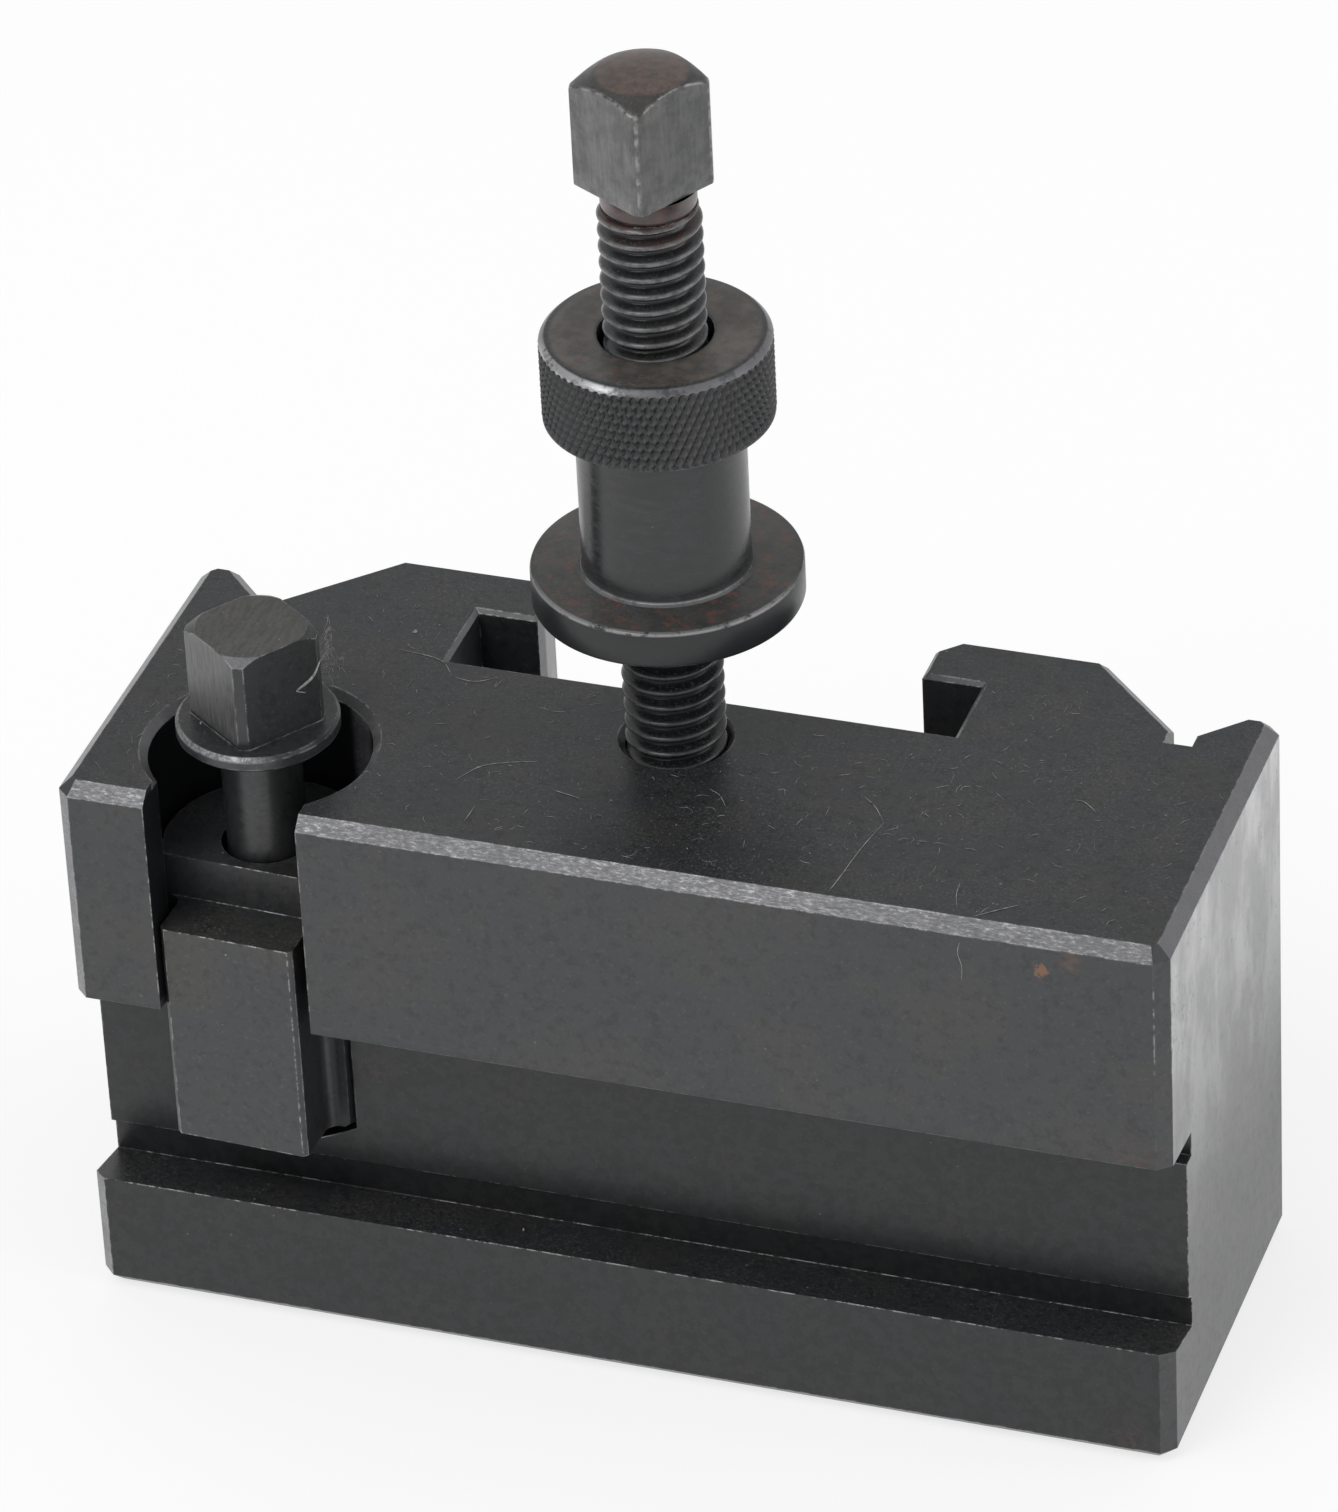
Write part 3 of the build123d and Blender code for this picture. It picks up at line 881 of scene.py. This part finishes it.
def nut_rim_wear_and_highlights(paint, place, radius, height):
    """Top rim rubbed grey all round. Bright metal on the rim at the front and left, and on the flange edge
    and sleeve foot at the front: painted highlight over worn edges.
    """
    ragged = paint.noise(0.45, 4, 0.75, shift=79.0)
    ragged_height = paint.math("ADD", height, paint.math("MULTIPLY", ragged, 0.7 * MM))
    broken = paint.band(paint.noise(1.4, 4, 0.7, shift=81.0), 0.34, 0.5)
    rim = paint.times(
        paint.ramp(ragged_height, NUT_TOP - 0.22, NUT_TOP - 0.10),
        paint.ramp(radius, KNURL_RADIUS - 0.55, KNURL_RADIUS - 0.4),
        paint.ramp(height, NUT_TOP - 0.9, NUT_TOP - 0.6),
    )
    paint.film(paint.times(rim, paint.value(broken, 0.15, 0.6)), RUBBED_AND_HIGHLIGHT_GREY)
    front_left = paint.beyond(place, (-0.55, -0.83, 0), 6.6, 8.2)
    near_side = paint.beyond(place, (0.25, -0.97, 0), 1.0, 7.0)
    flange_edge = paint.times(
        paint.ramp(radius, FLANGE_RADIUS - 0.34, FLANGE_RADIUS - 0.2),
        paint.ramp(height, FLANGE_TOP - 0.34, FLANGE_TOP - 0.2),
        paint.ramp(height, FLANGE_TOP + 0.3, FLANGE_TOP + 0.1),
        near_side,
    )
    sleeve_foot = paint.times(
        paint.ramp(radius, SLEEVE_RADIUS + 0.45, SLEEVE_RADIUS + 0.3),
        paint.ramp(radius, SLEEVE_RADIUS, SLEEVE_RADIUS + 0.08),
        paint.ramp(height, FLANGE_TOP + 0.5, FLANGE_TOP + 0.3),
        near_side,
    )
    # Painted highlight: bright metal only on the sides toward the key light and the camera.
    paint.wear_and_highlight = paint.most(
        paint.wear_and_highlight,
        paint.times(rim, front_left, broken),
        paint.times(flange_edge, broken, 0.55),
        paint.times(sleeve_foot, paint.value(broken, 0.3, 0.8)),
    )


def screw_material():
    paint = Oxide("screw_oxide", edge_radius=0.2, edge_amount=0.75, brown=0.4, dust=0.7)
    place, radius = paint.about(*BORE_PLACE)
    height = paint.axis(paint.place, "Z")
    head = paint.ramp(height, COLLAR_TOP + 0.2, COLLAR_TOP + 0.4)

    # scratched top, brushed left flat painted lighter as the lit side, bright front corner and the dark
    # strip below it
    scratches = paint.noise(0.35, 4, 0.75, stretch=(1, 0.2, 1), turn=(0, 0, 30), shift=83.0)
    scratches = paint.band(scratches, 0.36, 0.66)
    brush = paint.band(paint.noise(0.26, 4, 0.7, stretch=(1, 1, 0.12), shift=87.0), 0.34, 0.64)
    top = paint.toward(UP, 0.97, 0.995)
    left = paint.toward((-0.59, -0.81, 0), 0.8, 0.97)
    corner = paint.toward((0.078, -0.494, 0.866), 0.975, 0.995)
    strip = paint.toward((0.156, -0.988, 0), 0.975, 0.995)
    paint.film(paint.times(head, top, paint.value(scratches, 0.35, 1.0)), OLIVE_GREY)
    paint.film(paint.times(head, left, paint.value(brush, 0.3, 1.0)), BRUSHED_AND_LIT_DARK)
    paint.film(paint.times(head, strip, 0.8), DEEP_BLACK)
    paint.film(paint.times(head, corner, paint.value(brush, 0.7, 1.0)), RUBBED_AND_HIGHLIGHT_GREY)

    # collar's rim, bright metal at the front only: rubbed wear and painted highlight
    rim = paint.times(
        paint.ramp(radius, COLLAR_RADIUS - 0.4, COLLAR_RADIUS - 0.25),
        paint.ramp(height, COLLAR_TOP - 0.5, COLLAR_TOP - 0.3),
        paint.beyond(place, (-0.25, -0.97, 0), 4.0, 5.6),
        paint.value(scratches, 0.15, 0.7),
    )
    paint.wear_and_highlight = paint.most(paint.wear_and_highlight, rim)
    return paint.close()


def clamp_material():
    """Oxide with painted shade where the plug shows right of the tongue, below the lip: darker, less
    reflective, with fewer bright edges.
    """
    paint = Oxide("clamp_oxide", edge_radius=0.2, edge_amount=1.0, brown=0.8, dust=0.7)
    shoulder = paint.times(
        paint.ramp(paint.axis(paint.place, "X"), -25.4, -25.0),
        paint.ramp(paint.axis(paint.place, "Z"), 30, 29),
    )
    paint.film(paint.times(shoulder, 0.5), DEEP_BLACK)
    paint.wear_and_highlight = paint.times(paint.wear_and_highlight, paint.value(shoulder, 1.0, 0.15))
    paint.shelter = paint.times(shoulder, 0.7)
    return paint.close()


def lint_material():
    paint = Paint("lint_fibre")
    tone = paint.band(paint.noise(0.6, 3, 0.6, shift=91.0), 0.35, 0.65)
    paint.put(paint.colour(tone, LINT_DARK, LINT_PALE), paint.shader.inputs["Base Color"])
    paint.bump(paint.noise(0.05, 2, 0.5, shift=93.0), 0.3, 0.004)
    paint.shader.inputs["Roughness"].default_value = 0.85
    return paint.material


# ======== dust and lint ========

HAIR_SIDES = 5
HAIRS_ON_TOP = [  # (x, y) along each hair seen on the block's top
    [(-24.9, 5.8), (-21.3, 5.1), (-19.6, 3.2)],
    [(-19.4, 3.1), (-17.6, 2.9), (-16.0, 4.0)],
    [(-14.6, -10.5), (-13.3, -8.2), (-11.5, -7.1), (-9.3, -6.4)],
    [(-11.9, -13.2), (-11.9, -14.1), (-12.0, -15.4)],
    [(4.7, -6.5), (5.8, -7.2), (6.7, -8.5)],
    [(-6.9, -9.7), (-5.7, -10.0), (-4.4, -10.3)],
    [(32.1, -15.2), (30.6, -16.4), (29.1, -17.6)],
    [(26.9, -13.5), (27.1, -15.2), (27.6, -16.7)],
    [(16.3, -4.3), (17.8, -5.7), (19.0, -7.5)],
    [(19.0, -7.5), (18.4, -11.1), (17.9, -15.6), (17.7, -17.3)],
    [(32.2, -0.8), (33.0, -1.0), (34.2, -2.0)],
]
HAIR_ON_FRONT = [(28.5, 47.0), (28.2, 45.7), (28.5, 44.4), (28.4, 42.8)]  # (x, z)
SMALL_HAIRS = 240
SMALL_FLECKS = 320
BLOCK_FLECKS = [  # (x, y, z, radius) of larger flecks on the block
    (-24.56, 8.41, 48.32, 0.17), (-9.2, -15.8, 10.15, 0.16), (24.05, -13.99, 23.8, 0.10),
    (-24.0, -18.77, 42.4, 0.07), (-37.8, 1.5, 48.32, 0.11), (20.2, -7.9, 48.32, 0.09),
]
CLAMP_FLECKS = [
    (-31.4, -18.40, 34.3, 0.10), (-31.2, -18.40, 34.0, 0.07), (-29.6, -18.36, 30.6, 0.05),
    (-32.2, -18.39, 27.5, 0.05), (-33.6, -12.2, 39.4, 0.10),
]
COLLAR_FLECKS = [(-34.6, -12.0, 51.2, 0.13), (-33.9, -13.0, 51.15, 0.06)]
CURL = [  # pale curl on the right flat of the screw's head
    (-25.55, -8.82, 56.6), (-25.9, -9.3, 55.6), (-26.25, -9.8, 55.1),
    (-26.9, -10.7, 54.7), (-26.5, -10.1, 54.2),
]
FLUFF_STRANDS = 26
FLUFF_ROOT = (-26.2, -7.9, 55.6)  # on the back of the screw's head
FLUFF_MIDDLE = (-26.0, -6.0)


def curve_through(stops, steps=6):
    """Smooth line through the stops, as closely spaced points."""
    stops = [Vector(p) for p in stops]
    padded = [stops[0] * 2 - stops[1]] + stops + [stops[-1] * 2 - stops[-2]]
    line = []
    for a, b, c, d in zip(padded, padded[1:], padded[2:], padded[3:]):
        for step in range(steps):
            t = step / steps
            line.append(
                (b * 2 + (c - a) * t + (a * 2 - b * 5 + c * 4 - d) * t * t
                 + (b * 3 - a - c * 3 + d) * t * t * t) / 2
            )
    line.append(stops[-1])
    return line


def add_fibre(points, faces, stops, radius):
    """Thin tube, pointed at both ends, added to a mesh."""
    line = curve_through(stops)
    last = len(line) - 1
    rows = []
    for i, middle in enumerate(line):
        along = (line[min(i + 1, last)] - line[max(i - 1, 0)]).normalized()
        side = along.orthogonal().normalized()
        other = along.cross(side)
        here = radius * min(1.0, 0.25 + 3.0 * min(i, last - i) / len(line))
        rows.append([
            tuple(middle + (side * math.cos(a) + other * math.sin(a)) * here)
            for a in (2 * math.pi * k / HAIR_SIDES for k in range(HAIR_SIDES))
        ])
    add_rows(points, faces, rows)


def add_fleck(points, faces, middle, radius, chance):
    """Irregular flattened grain added to a mesh."""
    levels, around = 5, 6
    squash = [chance.uniform(0.5, 1.2) for _ in range(3)]
    lean = Quaternion((chance.random(), chance.random(), chance.random()), chance.uniform(0, 3))
    rows = []
    for level in range(levels):
        polar = math.pi * (level + 0.02) / (levels - 1 + 0.04)
        row = []
        for k in range(around):
            turn = 2 * math.pi * k / around
            reach = radius * chance.uniform(0.7, 1.15)
            place = Vector((
                math.sin(polar) * math.cos(turn) * squash[0],
                math.sin(polar) * math.sin(turn) * squash[1],
                math.cos(polar) * squash[2],
            )) * reach
            row.append(tuple(Vector(middle) + lean @ place))
        rows.append(row)
    add_rows(points, faces, rows)


def add_flecks(points, faces, flecks, chance):
    for x, y, z, radius in flecks:
        add_fleck(points, faces, (x, y, z), radius, chance)


def open_top(x, y):
    """Whether this place lies on the block's top, clear of its holes and edges."""
    from_bore = math.hypot(x - BORE_PLACE[0], y - BORE_PLACE[1])
    from_stud = math.hypot(x, y - STUD_Y)
    if from_bore < BORE_RADIUS + 1.05 or from_stud < CREST_RADIUS + 1.23:
        return False
    if abs(x) < 22 or abs(x) > 30:
        return y < 4.0
    return y < 14.0


def places_on_top(count, chance):
    """This many random open places on the block's top."""
    while count:
        x, y = chance.uniform(-42.5, 42.5), chance.uniform(-17.2, 14)
        if open_top(x, y):
            count -= 1
            yield x, y


def lint_object(name, body, points, faces, material):
    mesh = bpy.data.meshes.new(name)
    mesh.from_pydata(points, [], faces)
    item = finished(name, mesh, 60)
    item.data.materials.append(material)
    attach(item, body)


def lint_block(material, chance):
    """Hairs, short fibres and grains on the block's top, one hair on its front and larger flecks."""
    points, faces = [], []
    top = BLOCK_TOP + 0.02
    front = BLOCK_FRONT + 0.010
    for hair in HAIRS_ON_TOP:
        stops = [(x, y, top + 0.03 * (i % 2)) for i, (x, y) in enumerate(hair)]
        add_fibre(points, faces, stops, 0.028)
    add_fibre(points, faces, [(x, front, z) for x, z in HAIR_ON_FRONT], 0.024)
    for x, y in places_on_top(SMALL_HAIRS, chance):
        heading = chance.uniform(0, 2 * math.pi)
        length = chance.uniform(0.25, 1.3)
        stops = [(x, y, top)]
        for _ in range(2):
            heading += chance.uniform(-0.9, 0.9)
            x += math.cos(heading) * length / 2
            y += math.sin(heading) * length / 2
            stops.append((x, y, top + chance.uniform(0, 0.05)))
        add_fibre(points, faces, stops, chance.uniform(0.011, 0.019))
    for x, y in places_on_top(SMALL_FLECKS, chance):
        add_fleck(points, faces, (x, y, BLOCK_TOP + 0.01), chance.uniform(0.02, 0.055), chance)
    add_flecks(points, faces, BLOCK_FLECKS, chance)
    lint_object("block_lint", "holder", points, faces, material)


def lint_screw(material, chance):
    """Curl on the head's right flat, fluff caught behind the head, and flecks on its top and collar."""
    points, faces = [], []
    add_fibre(points, faces, CURL, 0.11)
    add_fibre(points, faces, [(x + 0.08, y - 0.04, z + 0.2) for x, y, z in CURL[1:4]], 0.05)
    root_x, root_y, root_z = FLUFF_ROOT
    for _ in range(FLUFF_STRANDS):
        x, y = FLUFF_MIDDLE
        z = chance.uniform(52.8, 58.4)
        stops = [(root_x, root_y, root_z + (z - root_z) * 0.5)]
        for _ in range(4):
            stops.append((x, y, z))
            x += chance.uniform(-0.55, 0.60)
            y += chance.uniform(-0.7, 0.7)
            z += chance.uniform(-0.8, 0.8)
        add_fibre(points, faces, stops, chance.uniform(0.010, 0.018))
    for _ in range(10):
        x, y = -30.9 + chance.uniform(-3, 3), -9.4 + chance.uniform(-3, 3)
        add_fleck(points, faces, (x, y, SCREW_HEAD_TOP), chance.uniform(0.03, 0.05), chance)
    add_flecks(points, faces, COLLAR_FLECKS, chance)
    lint_object("screw_lint", "clamp_screw", points, faces, material)


def make_lint():
    chance = random.Random(11)
    material = lint_material()
    lint_block(material, chance)
    lint_screw(material, chance)
    points, faces = [], []
    add_flecks(points, faces, CLAMP_FLECKS, chance)
    lint_object("clamp_lint", "clamp", points, faces, material)


# ======== stage ========

LIGHT_TARGET = (0, 0, 0.04)  # metres, as the places and sizes of the lights and floor are
KEY_LIGHT = ("key", (-0.40, -0.70, 1.05), 0.7, 4.5)  # name, place, side, watts
SIDE_LIGHT = ("side", (1.2, 0.1, 0.7), 0.8, 3.0)
WORLD_STRENGTH = 0.5
FLOOR_GREY = (0.34, 0.34, 0.34, 1)
FLOOR_GLOW = 0.72
FLOOR_STEPS = 96
FLOOR_DROP = 0.00005  # below the part's foot, so that the two faces don't coincide
FLOOR_PROFILE = (  # (radius, height)
    (0.001, 0.0), (1.8, 0.0), (2.1, 0.012), (2.35, 0.045),
    (2.6, 0.12), (2.8, 0.22), (2.93, 0.33), (3.0, 0.45),
)
WHITE = (1, 1, 1, 1)


def add_camera():
    data = bpy.data.cameras.new("camera")
    camera = bpy.data.objects.new("camera", data)
    bpy.context.scene.collection.objects.link(camera)
    azimuth = math.radians(CAMERA_AZIMUTH)
    elevation = math.radians(CAMERA_ELEVATION)
    forward = Vector((
        -math.sin(azimuth) * math.cos(elevation),
        math.cos(azimuth) * math.cos(elevation),
        -math.sin(elevation),
    ))
    level = forward.to_track_quat("-Z", "Y")
    roll = Quaternion((0, 0, 1), math.radians(CAMERA_ROLL))
    camera.rotation_mode = "QUATERNION"
    camera.rotation_quaternion = level @ roll
    camera.location = CAMERA_PLACE
    data.sensor_width = SENSOR_WIDTH
    data.lens = FOCAL_LENGTH
    data.clip_start = 0.01
    data.dof.use_dof = False
    bpy.context.scene.camera = camera


def floor_material():
    """White paper that glows a little, so shadows on it stay faint."""
    material = bpy.data.materials.new("floor_white")
    material.use_nodes = True
    shader = material.node_tree.nodes["Principled BSDF"]
    shader.inputs["Base Color"].default_value = FLOOR_GREY
    shader.inputs["Roughness"].default_value = 0.7
    shader.inputs["Emission Color"].default_value = WHITE
    shader.inputs["Emission Strength"].default_value = FLOOR_GLOW
    return material


def add_stage():
    """A round floor whose edge sweeps up, so that no horizon shows from low down."""
    points, faces = [], []
    add_rows(points, faces, [ring(radius, height, FLOOR_STEPS) for radius, height in FLOOR_PROFILE])
    mesh = bpy.data.meshes.new("floor")
    mesh.from_pydata(points, [], faces)
    for face in mesh.polygons:
        face.use_smooth = True
    floor = bpy.data.objects.new("floor", mesh)
    floor.location.z = -FLOOR_DROP
    bpy.context.scene.collection.objects.link(floor)
    floor.data.materials.append(floor_material())


def add_light(name, place, side, power):
    """Square area light that faces the part."""
    data = bpy.data.lights.new(name, "AREA")
    data.shape = "RECTANGLE"
    data.size = data.size_y = side
    data.energy = power
    light = bpy.data.objects.new(name, data)
    bpy.context.scene.collection.objects.link(light)
    light.location = place
    light.rotation_mode = "QUATERNION"
    light.rotation_quaternion = (Vector(LIGHT_TARGET) - Vector(place)).to_track_quat("-Z", "Y")


def add_world():
    world = bpy.data.worlds.new("studio")
    world.use_nodes = True
    background = world.node_tree.nodes["Background"]
    background.inputs["Color"].default_value = WHITE
    background.inputs["Strength"].default_value = WORLD_STRENGTH
    bpy.context.scene.world = world


def dress(node, material):
    """Gives a CAD node that is kept its own material."""
    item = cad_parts[node]
    item.data.materials.clear()
    item.data.materials.append(material)


bpy.context.scene.view_settings.view_transform = "Standard"
add_camera()
add_stage()
add_light(*KEY_LIGHT)
add_light(*SIDE_LIGHT)
add_world()
dress("holder_body", holder_material())
dress("clamp", clamp_material())
dress("clamp_screw", screw_material())
make_stud().data.materials.append(stud_material())
make_nut().data.materials.append(nut_material())
make_lint()
